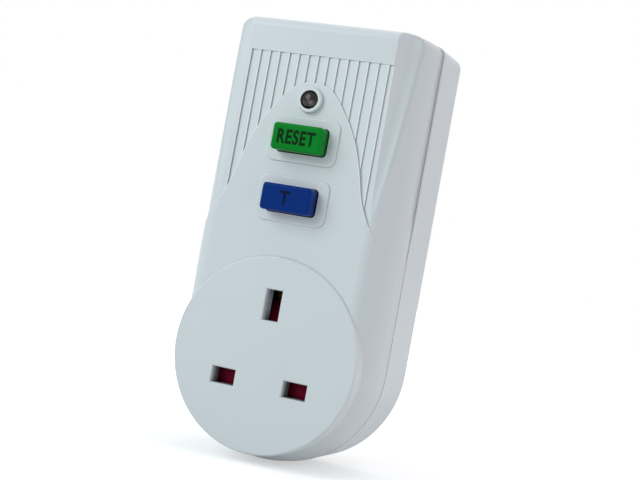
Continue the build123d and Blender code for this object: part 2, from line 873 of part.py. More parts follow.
def latch_plate():
    front = plunger_y - latch_thickness / 2
    back = plunger_y + latch_thickness / 2
    nose = block(-latch_half, latch_half, front, back, latch_tip, latch_high)
    arm_end = plunger_across + plunger_radius + 0.7
    return nose + block(-latch_half, arm_end, front, back, latch_low, latch_high)


def trip_plunger():
    top = solenoid_foot + plunger_reach
    return bar_z(plunger_radius, latch_high, top, plunger_across, plunger_y)


# The bent steel yoke round the coil
def solenoid_frame():
    front = plunger_y - bobbin_flange
    low_x = plunger_across - solenoid_half
    high_x = plunger_across + solenoid_half
    head_top = bobbin_high + solenoid_plate
    foot = block(low_x, high_x, front, board_y, solenoid_foot, bobbin_low)
    head = block(low_x, high_x, front, board_y, bobbin_high, head_top)
    back = block(low_x, high_x, board_y - solenoid_plate, board_y, solenoid_foot, head_top)
    hole = plunger_radius + stem_clearance
    yoke = foot + head + back
    return yoke - bar_z(hole, solenoid_foot - 1, bobbin_low + 0.5, plunger_across, plunger_y)


def solenoid_bobbin():
    lip = bobbin_flange_thickness
    tube = bar_z(bobbin_tube, bobbin_low, bobbin_high, plunger_across, plunger_y)
    low = bar_z(bobbin_flange, bobbin_low, bobbin_low + lip, plunger_across, plunger_y)
    high = bar_z(bobbin_flange, bobbin_high - lip, bobbin_high, plunger_across, plunger_y)
    bore = bar_z(bobbin_bore, bobbin_low - 1, bobbin_high + 1, plunger_across, plunger_y)
    return tube + low + high - bore


def solenoid_winding():
    low = bobbin_low + bobbin_flange_thickness
    high = bobbin_high - bobbin_flange_thickness
    outer = bar_z(bobbin_flange - 0.5, low, high, plunger_across, plunger_y)
    return outer - bar_z(bobbin_tube, low - 1, high + 1, plunger_across, plunger_y)


def plunger_spring():
    height = solenoid_foot - latch_high - 2 * spring_gap
    turned = coil(plunger_coil, plunger_wire, height, 2.5)
    return Pos(plunger_across, plunger_y, latch_high + spring_gap) * turned


# A coil spring along Y from y_front back to y_back
def spring_y(mean_radius, wire_radius, y_front, y_back, turns, z):
    turned = coil(mean_radius, wire_radius, y_back - y_front - 2 * spring_gap, turns)
    return Pos(0, y_back - spring_gap, z) * Rot(90, 0, 0) * turned


# The domed lens in the indicator ring, hollow behind for the lamp
def indicator_lens():
    front = front_y - indicator_ring_raise
    dome = front - 0.6
    bore = lamp_radius + 0.2
    bore_front = front + 2.4
    skirt_back = flange_front + 1.0
    skirt = lens_radius + 0.8
    dome_arc = TangentArc((0, dome), (lens_radius, front + 0.5), tangent=(1, 0))
    rest = Polyline(
        (0, dome),
        (0, bore_front),
        (bore, bore_front),
        (bore, skirt_back),
        (skirt, skirt_back),
        (skirt, flange_front),
        (lens_radius, flange_front),
        (lens_radius, front + 0.5),
    )
    half = make_face([dome_arc, *rest.edges()])
    return Pos(0, 0, indicator_height) * revolve(half, Axis.Y, 360)


def indicator_lamp():
    front = front_y - indicator_ring_raise + 2.7
    seat = front + lamp_length
    body = bar_y(lamp_radius, front, seat, z=indicator_height)
    body = fillet(body.faces().sort_by(Axis.Y)[0].edges(), lamp_radius * 0.8)
    lamp = body + bar_y(lamp_radius + 0.15, seat, seat + 0.8, z=indicator_height)
    low = indicator_height - lead / 2
    high = indicator_height + lead / 2
    for x in (-0.9, 0.9):
        lamp = lamp + block(x - lead / 2, x + lead / 2, seat + 0.8, board_y, low, high)
    return lamp


# The sprung strip that the test button bends back against its post
def test_contact_strip():
    touch_y = test_end + test_strip_gap + test_strip_thickness / 2
    seat_y = board_y - test_strip_thickness / 2
    bend = test_strip_foot - test_strip_reach
    path = [
        (-test_strip_reach, seat_y),
        (bend, seat_y),
        (bend + test_strip_slope, touch_y),
        (test_strip_tip, touch_y),
    ]
    section = Pos(0, 0, test_height - test_strip_width / 2) * strip_face(path, test_strip_thickness)
    return extrude(section, amount=test_strip_width, dir=(0, 0, 1))


def test_contact_post():
    front = test_end + test_travel + test_strip_thickness + touch_gap
    return block(2.0, 3.4, front, board_y, test_height - 1.5, test_height + 1.5)


# A boxed part on the board's front, or behind it
def boxed_part(place, size, behind=False):
    x, drop = place
    width, tall, deep = size
    y_front = board_back_y if behind else board_y - deep
    return slab(Rectangle(width, tall), y_front, y_front + deep, x, board_top - drop)


def control_chip():
    chip = boxed_part(chip_place, chip_size)
    chip = chamfer(chip.faces().sort_by(Axis.Y)[0].edges(), 0.25)
    across = chip_size[0] / 2 + 0.4
    for count in range(4):
        drop = chip_place[1] + (count - 1.5) * chip_pitch
        for side in (-1, 1):
            chip = chip + boxed_part((chip_place[0] + side * across, drop), (0.9, 0.45, 0.6))
    return chip


def thyristor():
    body = boxed_part(thyristor_place, thyristor_size, behind=True)
    return chamfer(body.edges().filter_by(Axis.Z), 0.6)


def surge_varistor():
    x = varistor_place[0]
    z = board_top - varistor_place[1]
    front = board_back_y + 2
    disc = bar_y(varistor_radius, front, front + varistor_thickness, x, z)
    disc = fillet(disc.edges(), 1.2)
    half = varistor_radius / 2
    for foot in (x - half, x + half):
        disc = disc + block(foot - 0.35, foot + 0.35, board_back_y, front + 2, z - 0.4, z + 0.4)
    return disc


def supply_capacitor():
    body = boxed_part(capacitor_place, capacitor_size, behind=True)
    return fillet(body.edges().filter_by(Axis.Y), 0.5)


# A barrel lying across the board's back on two bent leads
def leaded_barrel(x, z, radius, length, foot):
    height = board_back_y + radius + 0.3
    barrel = Pos(x, height, z) * Rot(0, 90, 0) * Cylinder(radius, length)
    barrel = fillet(barrel.edges(), radius * 0.3)
    half = lead / 2
    for side in (-1, 1):
        end = x + side * (length / 2 + foot)
        near = x + side * (length / 2 - 0.4)
        wire = block(min(end, near), max(end, near), height - half, height + half, z - half, z + half)
        leg = block(end - half, end + half, board_back_y, height + half, z - half, z + half)
        barrel = barrel + wire + leg
    return barrel


def rectifier_diodes():
    x, drop = diode_place
    diodes = [
        leaded_barrel(x, board_top - drop + count * diode_pitch, diode_radius, diode_length, 1.0)
        for count in range(4)
    ]
    return Compound(diodes)


def test_resistor():
    x, drop = resistor_place
    return leaded_barrel(x, board_top - drop, resistor_radius, resistor_length, 1.5)


def main():
    os.makedirs("parts", exist_ok=True)
    live = pin_pitch / 2
    neutral = -pin_pitch / 2
    reset_end = carrier_front - touch_gap
    pieces = {
        "front_housing": front_housing(),
        "rear_housing": rear_housing(),
        "housing_screws": housing_screws(),
        "board_screws": board_screws(),
        "live_pin": blade_pin(live),
        "neutral_pin": blade_pin(neutral),
        "earth_pin": plug_pin(earth_width, earth_height, earth_length, 0, pin_pitch),
        "live_pin_sleeve": pin_sleeve(live),
        "neutral_pin_sleeve": pin_sleeve(neutral),
        "socket_insert": socket_insert(),
        "shutter": shutter(),
        "shutter_spring": shutter_spring(),
        "socket_base": socket_base(),
        "live_contact": blade_contact(live),
        "neutral_contact": blade_contact(neutral),
        "earth_contact": earth_contact(),
        "earth_strap": earth_strap(),
        "live_supply_strap": supply_strap(1),
        "neutral_supply_strap": supply_strap(-1),
        "live_load_strap": load_strap(1),
        "neutral_load_strap": load_strap(-1),
        "circuit_board": circuit_board(),
        "transformer_core": transformer_core(),
        "transformer_winding": transformer_winding(),
        "reset_button": button(reset_height, reset_stem, reset_end),
        "test_button": button(test_height, test_stem, test_end),
        "reset_spring": spring_y(reset_coil, reset_wire, flange_back, chassis_front, 3.5, reset_height),
        "test_spring": spring_y(test_coil, test_wire, flange_back, chassis_front, 4, test_height),
        "button_chassis": button_chassis(),
        "contact_carrier": contact_carrier(),
        "carrier_spring": spring_y(carrier_coil, reset_wire, carrier_back, board_y, 3, reset_height),
        "live_moving_contact": moving_contact(1),
        "neutral_moving_contact": moving_contact(-1),
        "live_fixed_contacts": fixed_contact(1),
        "neutral_fixed_contacts": fixed_contact(-1),
        "latch_plate": latch_plate(),
        "trip_plunger": trip_plunger(),
        "plunger_spring": plunger_spring(),
        "solenoid_frame": solenoid_frame(),
        "solenoid_bobbin": solenoid_bobbin(),
        "solenoid_winding": solenoid_winding(),
        "indicator_lens": indicator_lens(),
        "indicator_lamp": indicator_lamp(),
        "test_contact_strip": test_contact_strip(),
        "test_contact_post": test_contact_post(),
        "control_chip": control_chip(),
        "thyristor": thyristor(),
        "surge_varistor": surge_varistor(),
        "supply_capacitor": supply_capacitor(),
        "rectifier_diodes": rectifier_diodes(),
        "test_resistor": test_resistor(),
    }
    for name, shape in pieces.items():
        export_step(shape, f"parts/{name}.step")


main()
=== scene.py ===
from math import radians

import bmesh
import bpy
from mathutils import Matrix, Quaternion, Vector


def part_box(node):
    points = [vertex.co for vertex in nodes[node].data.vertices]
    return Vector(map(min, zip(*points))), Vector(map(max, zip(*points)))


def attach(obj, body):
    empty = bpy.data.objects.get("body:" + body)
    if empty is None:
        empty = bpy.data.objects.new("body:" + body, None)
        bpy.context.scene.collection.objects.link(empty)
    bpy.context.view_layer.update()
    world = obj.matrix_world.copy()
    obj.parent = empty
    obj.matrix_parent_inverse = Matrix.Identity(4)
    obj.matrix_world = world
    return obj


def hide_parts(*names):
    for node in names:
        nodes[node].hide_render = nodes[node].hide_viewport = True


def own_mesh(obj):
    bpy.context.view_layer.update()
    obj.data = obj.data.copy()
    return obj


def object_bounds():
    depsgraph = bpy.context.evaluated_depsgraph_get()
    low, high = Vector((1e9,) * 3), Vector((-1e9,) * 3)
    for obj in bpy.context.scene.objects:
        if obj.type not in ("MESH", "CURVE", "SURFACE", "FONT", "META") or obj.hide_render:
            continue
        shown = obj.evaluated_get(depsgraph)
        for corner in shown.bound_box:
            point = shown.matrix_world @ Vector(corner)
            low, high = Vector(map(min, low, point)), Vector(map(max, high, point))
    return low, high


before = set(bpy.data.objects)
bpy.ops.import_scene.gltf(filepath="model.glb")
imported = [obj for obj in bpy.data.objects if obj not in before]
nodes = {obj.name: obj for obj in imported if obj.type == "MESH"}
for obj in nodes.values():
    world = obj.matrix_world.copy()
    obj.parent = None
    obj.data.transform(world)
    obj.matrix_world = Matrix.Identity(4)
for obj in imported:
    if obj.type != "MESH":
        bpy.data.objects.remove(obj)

mm = 0.001
cadBox = [list(corner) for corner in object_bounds()]
print("frame loaded:", len(nodes), "nodes")


# sRGB hex to the linear colour that a shader socket takes
def linearColour(hexCode):
    channels = [int(hexCode[i:i + 2], 16) / 255 for i in (1, 3, 5)]
    return tuple(c / 12.92 if c <= 0.04045 else ((c + 0.055) / 1.055) ** 2.4 for c in channels) + (1.0,)


# Adds one node with its settings, its socket values and its links. A socket is named, or numbered as _0
def addNode(tree, kind, settings=None, **sockets):
    node = tree.nodes.new(kind)
    for name, value in (settings or {}).items():
        setattr(node, name, value)
    for name, value in sockets.items():
        socket = node.inputs[int(name[1:])] if name[0] == "_" else node.inputs[name.replace("_", " ")]
        if isinstance(value, bpy.types.NodeSocket):
            tree.links.new(value, socket)
        else:
            socket.default_value = value
    return node


def newMaterial(name):
    material = bpy.data.materials.new(name)
    material.use_nodes = True
    material.node_tree.nodes.clear()
    return material, material.node_tree


def finishMaterial(tree, surface):
    addNode(tree, "ShaderNodeOutputMaterial", Surface=surface)


# Where on the shoulders the hollows fade out, in mm from the middle and up from the pins
shoulder = {"inner": 23.2, "outer": 27.5, "low": 46, "high": 54}


# A mould's edges are never quite sharp ("soft", in mm), and the outer edges of the hollows high on
# the shoulders run widely into the side ("blend", in mm)
def softEdges(tree, place, look):
    apart = addNode(tree, "ShaderNodeSeparateXYZ", Vector=place)
    out = addNode(tree, "ShaderNodeMath", {"operation": "ABSOLUTE"}, _0=apart.outputs["X"])
    wide = addNode(tree, "ShaderNodeMapRange", Value=out.outputs["Value"],
                   From_Min=shoulder["inner"] * mm, From_Max=shoulder["outer"] * mm,
                   To_Max=look["blend"] * mm)
    high = addNode(tree, "ShaderNodeMapRange", Value=apart.outputs["Z"],
                   From_Min=shoulder["low"] * mm, From_Max=shoulder["high"] * mm)
    both = addNode(tree, "ShaderNodeMath", {"operation": "MULTIPLY_ADD"}, _0=wide.outputs["Result"],
                   _1=high.outputs["Result"], _2=look["soft"] * mm)
    return addNode(tree, "ShaderNodeBevel", {"samples": 8}, Radius=both.outputs["Value"]).outputs["Normal"]


# What all the mouldings share: how open a rim is where the painted edge highlight is full and where it is
# none, how much the sheen wanders, the grain's height in mm, and how rough the polish of the buttons is
moulding = {"fullHighlightRim": 0.45, "noHighlightRim": 0.85, "sheenSpread": 0.04, "grainHeight": 0.03, "coatRough": 0.12}


# Injection-moulded plastic: a spark-eroded grain from the tool, a faint cloudiness in the colour
# where the melt flowed, a sheen that wanders a little, painted shade in the steps and gaps, and
# a painted highlight that makes the edges paler. Sizes are in mm. The real grain is about 0.05 mm, too fine
# to show, so it is drawn at 0.25 to 0.35 mm
def mouldedPlastic(name, look):
    material, tree = newMaterial(name)
    place = addNode(tree, "ShaderNodeTexCoord").outputs["Object"]
    # Painted shade: the colour darkens to the nook shade colour where ambient occlusion finds steps, gaps
    # and hollows
    nookShade = addNode(tree, "ShaderNodeAmbientOcclusion", {"samples": 8}, Distance=look["reach"] * mm)
    clear = addNode(tree, "ShaderNodeMapRange", Value=nookShade.outputs["AO"], From_Min=look["nookShadeFrom"],
                    From_Max=look["nookShadeTo"])
    # Painted highlight: the colour pales to the highlight colour on convex edges, found by ambient occlusion
    # from inside
    rim = addNode(tree, "ShaderNodeAmbientOcclusion", {"samples": 8, "inside": True},
                  Distance=look["highlightReach"] * mm)
    edgeHighlight = addNode(tree, "ShaderNodeMapRange", Value=rim.outputs["AO"], From_Min=moulding["fullHighlightRim"],
                     From_Max=moulding["noHighlightRim"], To_Min=look["highlightStrength"], To_Max=0.0)
    flow = addNode(tree, "ShaderNodeTexNoise", Vector=place, Scale=1 / (look["flow"] * mm), Detail=3.0,
                   Roughness=0.5)
    cloudy = addNode(tree, "ShaderNodeMix", {"data_type": "RGBA"}, _0=flow.outputs["Fac"],
                     _6=linearColour(look["colour"]), _7=linearColour(look["cloud"]))
    highlighted = addNode(tree, "ShaderNodeMix", {"data_type": "RGBA"}, _0=edgeHighlight.outputs["Result"],
                   _6=cloudy.outputs[2], _7=linearColour(look["edge"]))
    tone = addNode(tree, "ShaderNodeMix", {"data_type": "RGBA"}, _0=clear.outputs["Result"],
                   _6=linearColour(look["nookShade"]), _7=highlighted.outputs[2])
    grain = addNode(tree, "ShaderNodeTexNoise", Vector=place, Scale=1 / (look["grain"] * mm), Detail=2.0,
                    Roughness=0.6)
    sheen = addNode(tree, "ShaderNodeMapRange", Value=flow.outputs["Fac"],
                    To_Min=look["rough"] - moulding["sheenSpread"],
                    To_Max=look["rough"] + moulding["sheenSpread"])
    bump = addNode(tree, "ShaderNodeBump", Strength=look["depth"], Distance=moulding["grainHeight"] * mm,
                   Height=grain.outputs["Fac"], Normal=softEdges(tree, place, look))
    shader = addNode(tree, "ShaderNodeBsdfPrincipled", Base_Color=tone.outputs[2], IOR=look["ior"],
                     Roughness=sheen.outputs["Result"], Normal=bump.outputs["Normal"],
                     Specular_IOR_Level=look["shine"], Coat_Weight=look["coat"],
                     Coat_Roughness=moulding["coatRough"])
    finishMaterial(tree, shader.outputs["BSDF"])
    return material


# What all the metals share: how much smoother and rougher the lines make it, and how deep they are in mm
metalLines = {"smoother": 0.06, "rougher": 0.08, "depth": 0.25, "height": 0.01}


# Drawn, pressed or plated metal: fine lines along the working direction and a slight cloud of tarnish.
# The real lines are a few hundredths of a mm apart, so they are drawn at 0.2 to 0.3 mm to show
def workedMetal(name, look):
    material, tree = newMaterial(name)
    place = addNode(tree, "ShaderNodeTexCoord").outputs["Object"]
    stretch = addNode(tree, "ShaderNodeMapping", Vector=place, Scale=look["stretch"])
    lines = addNode(tree, "ShaderNodeTexNoise", Vector=stretch.outputs["Vector"],
                    Scale=1 / (look["lines"] * mm), Detail=2.0, Roughness=0.6)
    cloud = addNode(tree, "ShaderNodeTexNoise", Vector=place, Scale=1 / (look["cloudSize"] * mm), Detail=3.0)
    tone = addNode(tree, "ShaderNodeMix", {"data_type": "RGBA"}, _0=cloud.outputs["Fac"],
                   _6=linearColour(look["colour"]), _7=linearColour(look["tarnish"]))
    rough = addNode(tree, "ShaderNodeMapRange", Value=lines.outputs["Fac"],
                    To_Min=look["rough"] - metalLines["smoother"],
                    To_Max=look["rough"] + metalLines["rougher"])
    bump = addNode(tree, "ShaderNodeBump", Strength=metalLines["depth"],
                   Distance=metalLines["height"] * mm, Height=lines.outputs["Fac"])
    shader = addNode(tree, "ShaderNodeBsdfPrincipled", Base_Color=tone.outputs[2], Metallic=1.0,
                     Roughness=rough.outputs["Result"], Normal=bump.outputs["Normal"])
    finishMaterial(tree, shader.outputs["BSDF"])
    return material


# ABS in a cool white: satin, so the lamps spread softly over the housing
whiteHousing = mouldedPlastic("white moulded ABS", {
    "colour": "#D9DFE2", "cloud": "#D3DADE", "flow": 22.0, "grain": 0.35, "depth": 0.18, "rough": 0.42,
    "ior": 1.5, "shine": 0.5, "coat": 0.0, "soft": 0.08, "blend": 3.0,
    "nookShade": "#B2BABE", "reach": 0.6, "nookShadeFrom": 0.35, "nookShadeTo": 0.8,
    "edge": "#FFFFFF", "highlightReach": 0.6, "highlightStrength": 0.8,
})
# A darker copy of the same moulding, deep in the pin openings, with painted shade, near black in the
# hollows, where little light comes
shadedHousing = mouldedPlastic("white moulded ABS with painted shade in the openings", {
    "colour": "#CBD2D6", "cloud": "#C4CCD0", "flow": 22.0, "grain": 0.35, "depth": 0.18, "rough": 0.45,
    "ior": 1.5, "shine": 0.3, "coat": 0.0, "soft": 0.12, "blend": 0.0,
    "nookShade": "#0A080C", "reach": 5.0, "nookShadeFrom": 0.15, "nookShadeTo": 0.72,
    "edge": "#CBD2D6", "highlightReach": 0.4, "highlightStrength": 0.0,
})
# Dyed ABS polished by fingers to a faint gloss: deep colour, a painted highlight paler at the rims and
# painted shade dark in the gap round it
greenButton = mouldedPlastic("green moulded ABS", {
    "colour": "#00862A", "cloud": "#007E24", "flow": 9.0, "grain": 0.3, "depth": 0.12, "rough": 0.3,
    "ior": 1.5, "shine": 0.04, "coat": 0.05, "soft": 0.12, "blend": 0.0,
    "nookShade": "#000B03", "reach": 3.0, "nookShadeFrom": 0.35, "nookShadeTo": 0.95,
    "edge": "#14AE48", "highlightReach": 0.8, "highlightStrength": 0.7,
})
blueButton = mouldedPlastic("blue moulded ABS", {
    "colour": "#02327F", "cloud": "#012C76", "flow": 9.0, "grain": 0.3, "depth": 0.12, "rough": 0.3,
    "ior": 1.5, "shine": 0.04, "coat": 0.05, "soft": 0.12, "blend": 0.0,
    "nookShade": "#000410", "reach": 3.0, "nookShadeFrom": 0.35, "nookShadeTo": 0.95,
    "edge": "#1C5CC0", "highlightReach": 0.8, "highlightStrength": 0.7,
})
# Dyed nylon, slightly waxy, nearly black where the openings shade it
maroonShutter = mouldedPlastic("maroon moulded nylon", {
    "colour": "#8A0030", "cloud": "#7C0029", "flow": 8.0, "grain": 0.25, "depth": 0.1, "rough": 0.38,
    "ior": 1.53, "shine": 0.05, "coat": 0.0, "soft": 0.12, "blend": 0.0,
    "nookShade": "#160006", "reach": 3.0, "nookShadeFrom": 0.2, "nookShadeTo": 0.9,
    "edge": "#9C1040", "highlightReach": 0.4, "highlightStrength": 0.4,
})
# Glass fibres in the nylon make it duller and its grain rougher
blackPlastic = mouldedPlastic("black glass-filled nylon", {
    "colour": "#1B1B1D", "cloud": "#232325", "flow": 7.0, "grain": 0.28, "depth": 0.25, "rough": 0.46,
    "ior": 1.53, "shine": 0.4, "coat": 0.0, "soft": 0.12, "blend": 0.0,
    "nookShade": "#0C0C0D", "reach": 1.0, "nookShadeFrom": 0.3, "nookShadeTo": 0.8,
    "edge": "#323236", "highlightReach": 0.4, "highlightStrength": 0.6,
})
# Undyed polyester: creamy, with a satin sheen
creamPlastic = mouldedPlastic("natural moulded polyester", {
    "colour": "#D9D2BC", "cloud": "#CFC6AC", "flow": 10.0, "grain": 0.3, "depth": 0.2, "rough": 0.44,
    "ior": 1.57, "shine": 0.5, "coat": 0.0, "soft": 0.12, "blend": 0.0,
    "nookShade": "#8F8976", "reach": 1.0, "nookShadeFrom": 0.3, "nookShadeTo": 0.8,
    "edge": "#E4DECC", "highlightReach": 0.4, "highlightStrength": 0.6,
})
# Brass drawn along the pins, bright with lengthwise lines
pinBrass = workedMetal("drawn brass", {
    "colour": "#D8B56A", "tarnish": "#C59B4E", "cloudSize": 6.0, "lines": 0.25,
    "stretch": (1.0, 0.06, 1.0), "rough": 0.27,
})
# Rolled and pressed bronze, redder and duller than the pins
contactBrass = workedMetal("pressed phosphor bronze", {
    "colour": "#CDA062", "tarnish": "#B8874A", "cloudSize": 5.0, "lines": 0.25,
    "stretch": (1.0, 1.0, 0.08), "rough": 0.34,
})
# Zinc plating: a grey, slightly patchy shine
zincSteel = workedMetal("zinc-plated steel", {
    "colour": "#C3C6C9", "tarnish": "#AEB2B0", "cloudSize": 3.0, "lines": 0.3,
    "stretch": (1.0, 0.3, 1.0), "rough": 0.32,
})
# Drawn wire, bright and smooth
springSteel = workedMetal("drawn spring wire", {
    "colour": "#B4B7BB", "tarnish": "#9CA0A3", "cloudSize": 4.0, "lines": 0.2,
    "stretch": (1.0, 1.0, 1.0), "rough": 0.24,
})
# Varnished copper, dark orange and glossy, with the turns as lines
windingCopper = workedMetal("enamelled copper wire", {
    "colour": "#B5622F", "tarnish": "#9A4A20", "cloudSize": 4.0, "lines": 0.3,
    "stretch": (1.0, 1.0, 0.2), "rough": 0.2,
})
print("plain finishes made")


# Dark tinted acrylic, polished, with a painted pale patch of light low on the right that stands for the
# light it gathers falling on the lamp behind
def tintedLens():
    look = {"colour": "#160C0B", "patch": "#8C7E80", "rough": 0.02, "roughSpread": 0.03,
            "clear": 0.2, "shine": 0.35, "ior": 1.49, "flow": 0.9, "wander": 0.9,
            "patchRight": 0.9, "patchDown": 0.9, "patchCore": 0.3, "patchSize": 1.7}
    material, tree = newMaterial("tinted acrylic lens")
    place = addNode(tree, "ShaderNodeTexCoord").outputs["Object"]
    low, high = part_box("indicator_lens")
    middle = (low + high) / 2
    glowSpot = (middle.x + look["patchRight"] * mm, low.y, middle.z - look["patchDown"] * mm)
    away = addNode(tree, "ShaderNodeVectorMath", {"operation": "DISTANCE"}, _0=place, _1=glowSpot)
    flow = addNode(tree, "ShaderNodeTexNoise", Vector=place, Scale=1 / (look["flow"] * mm), Detail=2.0)
    wander = addNode(tree, "ShaderNodeMath", {"operation": "MULTIPLY_ADD"}, _0=flow.outputs["Fac"],
                     _1=look["wander"] * mm, _2=away.outputs["Value"])
    glowFade = addNode(tree, "ShaderNodeMapRange", {"interpolation_type": "SMOOTHSTEP"},
                   Value=wander.outputs["Value"], From_Min=look["patchCore"] * mm,
                   From_Max=look["patchSize"] * mm, To_Min=1.0, To_Max=0.0)
    # Painted light: the colour pales towards the patch colour round a spot low on the right
    tone = addNode(tree, "ShaderNodeMix", {"data_type": "RGBA"}, _0=glowFade.outputs["Result"],
                   _6=linearColour(look["colour"]), _7=linearColour(look["patch"]))
    rough = addNode(tree, "ShaderNodeMapRange", Value=flow.outputs["Fac"], To_Min=look["rough"],
                    To_Max=look["rough"] + look["roughSpread"])
    shader = addNode(tree, "ShaderNodeBsdfPrincipled", Base_Color=tone.outputs[2], IOR=look["ior"],
                     Roughness=rough.outputs["Result"], Transmission_Weight=look["clear"],
                     Specular_IOR_Level=look["shine"])
    finishMaterial(tree, shader.outputs["BSDF"])
    return material


# The lamp's clear glass with a hint of warm electrode colour
def lampGlass():
    look = {"colour": "#F2CDBB", "haze": 1.2, "smooth": 0.05, "hazy": 0.2, "clear": 0.6, "ior": 1.5}
    material, tree = newMaterial("lamp glass")
    place = addNode(tree, "ShaderNodeTexCoord").outputs["Object"]
    haze = addNode(tree, "ShaderNodeTexNoise", Vector=place, Scale=1 / (look["haze"] * mm), Detail=2.0)
    rough = addNode(tree, "ShaderNodeMapRange", Value=haze.outputs["Fac"], To_Min=look["smooth"],
                    To_Max=look["hazy"])
    shader = addNode(tree, "ShaderNodeBsdfPrincipled", Base_Color=linearColour(look["colour"]),
                     IOR=look["ior"], Roughness=rough.outputs["Result"], Transmission_Weight=look["clear"])
    finishMaterial(tree, shader.outputs["BSDF"])
    return material


# Glass-fibre laminate under green solder resist: the cloth's weave shows through as a fine grid,
# drawn about 1 mm from thread to thread, twice the real spacing, so that it shows
def boardLaminate():
    look = {"resist": "#4E6B22", "weave": "#5E7C2C", "thread": 0.987, "sway": 0.4, "depth": 0.2,
            "height": 0.02, "rough": 0.25, "ior": 1.55}
    waveRepeat = 0.31416  # from one band to the next, in metres, at a scale of 1
    bands = waveRepeat / (look["thread"] * mm)
    material, tree = newMaterial("board laminate")
    place = addNode(tree, "ShaderNodeTexCoord").outputs["Object"]
    across = addNode(tree, "ShaderNodeTexWave", {"bands_direction": "X"}, Vector=place, Scale=bands,
                     Distortion=look["sway"])
    along = addNode(tree, "ShaderNodeTexWave", {"bands_direction": "Z"}, Vector=place, Scale=bands,
                    Distortion=look["sway"])
    cloth = addNode(tree, "ShaderNodeMath", {"operation": "MULTIPLY"}, _0=across.outputs["Fac"],
                    _1=along.outputs["Fac"])
    tone = addNode(tree, "ShaderNodeMix", {"data_type": "RGBA"}, _0=cloth.outputs["Value"],
                   _6=linearColour(look["resist"]), _7=linearColour(look["weave"]))
    bump = addNode(tree, "ShaderNodeBump", Strength=look["depth"], Distance=look["height"] * mm,
                   Height=cloth.outputs["Value"])
    shader = addNode(tree, "ShaderNodeBsdfPrincipled", Base_Color=tone.outputs[2], Roughness=look["rough"],
                     IOR=look["ior"], Normal=bump.outputs["Normal"])
    finishMaterial(tree, shader.outputs["BSDF"])
    return material


# Dipped epoxy coating, glossy with a slight orange peel 0.9 mm across
def dippedCoat(name, look):
    material, tree = newMaterial(name)
    place = addNode(tree, "ShaderNodeTexCoord").outputs["Object"]
    peel = addNode(tree, "ShaderNodeTexNoise", Vector=place, Scale=1 / (look["peel"] * mm), Detail=1.0)
    tone = addNode(tree, "ShaderNodeMix", {"data_type": "RGBA"}, _0=peel.outputs["Fac"],
                   _6=linearColour(look["colour"]), _7=linearColour(look["shade"]))
    bump = addNode(tree, "ShaderNodeBump", Strength=look["depth"], Distance=look["height"] * mm,
                   Height=peel.outputs["Fac"])
    shader = addNode(tree, "ShaderNodeBsdfPrincipled", Base_Color=tone.outputs[2], Roughness=look["rough"],
                     IOR=look["ior"], Normal=bump.outputs["Normal"])
    finishMaterial(tree, shader.outputs["BSDF"])
    return material


lens = tintedLens()
glass = lampGlass()
laminate = boardLaminate()
varistorCoat = dippedCoat("blue epoxy coat", {
    "colour": "#1E4F96", "shade": "#1A4587", "peel": 0.9, "depth": 0.3, "height": 0.05, "rough": 0.22,
    "ior": 1.55,
})
resistorCoat = dippedCoat("tan epoxy coat", {
    "colour": "#C9AE7E", "shade": "#BC9F6C", "peel": 0.9, "depth": 0.3, "height": 0.05, "rough": 0.22,
    "ior": 1.55,
})
print("special finishes made")

finishes = {
    "front_housing": whiteHousing,
    "rear_housing": whiteHousing,
    "housing_screws": zincSteel,
    "board_screws": zincSteel,
    "live_pin": pinBrass,
    "neutral_pin": pinBrass,
    "earth_pin": pinBrass,
    "live_pin_sleeve": blackPlastic,
    "neutral_pin_sleeve": blackPlastic,
    "socket_insert": shadedHousing,
    "shutter": maroonShutter,
    "shutter_spring": springSteel,
    # Painted shade: the socket base is given black so that the openings look dark deep inside
    "socket_base": blackPlastic,
    "live_contact": contactBrass,
    "neutral_contact": contactBrass,
    "earth_contact": contactBrass,
    "earth_strap": contactBrass,
    "live_supply_strap": contactBrass,
    "neutral_supply_strap": contactBrass,
    "live_load_strap": contactBrass,
    "neutral_load_strap": contactBrass,
    "circuit_board": laminate,
    "transformer_core": blackPlastic,
    "transformer_winding": windingCopper,
    "reset_button": greenButton,
    "test_button": blueButton,
    "reset_spring": springSteel,
    "test_spring": springSteel,
    "button_chassis": blackPlastic,
    "contact_carrier": creamPlastic,
    "carrier_spring": springSteel,
    "live_moving_contact": contactBrass,
    "neutral_moving_contact": contactBrass,
    "live_fixed_contacts": contactBrass,
    "neutral_fixed_contacts": contactBrass,
    "latch_plate": zincSteel,
    "trip_plunger": zincSteel,
    "plunger_spring": springSteel,
    "solenoid_frame": zincSteel,
    "solenoid_bobbin": creamPlastic,
    "solenoid_winding": windingCopper,
    "indicator_lens": lens,
    "indicator_lamp": glass,
    "test_contact_strip": contactBrass,
    "test_contact_post": contactBrass,
    "control_chip": blackPlastic,
    "thyristor": blackPlastic,
    "surge_varistor": varistorCoat,
    "supply_capacitor": resistorCoat,
    "rectifier_diodes": blackPlastic,
    "test_resistor": resistorCoat,
}
for name, finish in finishes.items():
    slots = nodes[name].data.materials
    slots.clear()
    slots.append(finish)
print("finishes given to", len(finishes), "nodes")


# Makes a mesh a piece that moves with a body
def addPiece(name, mesh, body):
    piece = bpy.data.objects.new(name, mesh)
    bpy.context.scene.collection.objects.link(piece)
    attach(piece, body)
    return piece


# A coil spring is a smooth-shaded copy of the CAD one, hung on the housing in its place; its table gives the
# joint of its button, carrier, shutter or latch and that one's travel in mm
def shorteningSpring(node, spring):
    weld = 0.0001 * mm
    bm = bmesh.new()
    bm.from_mesh(nodes[node].data)
    bmesh.ops.remove_doubles(bm, verts=bm.verts, dist=weld)
    for face in bm.faces:
        face.smooth = True
    mesh = bpy.data.meshes.new(spring["name"])
    bm.to_mesh(mesh)
    bm.free()
    mesh.materials.append(springSteel)
    piece = addPiece(spring["name"], mesh, "housing")
    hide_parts(node)
    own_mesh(piece)


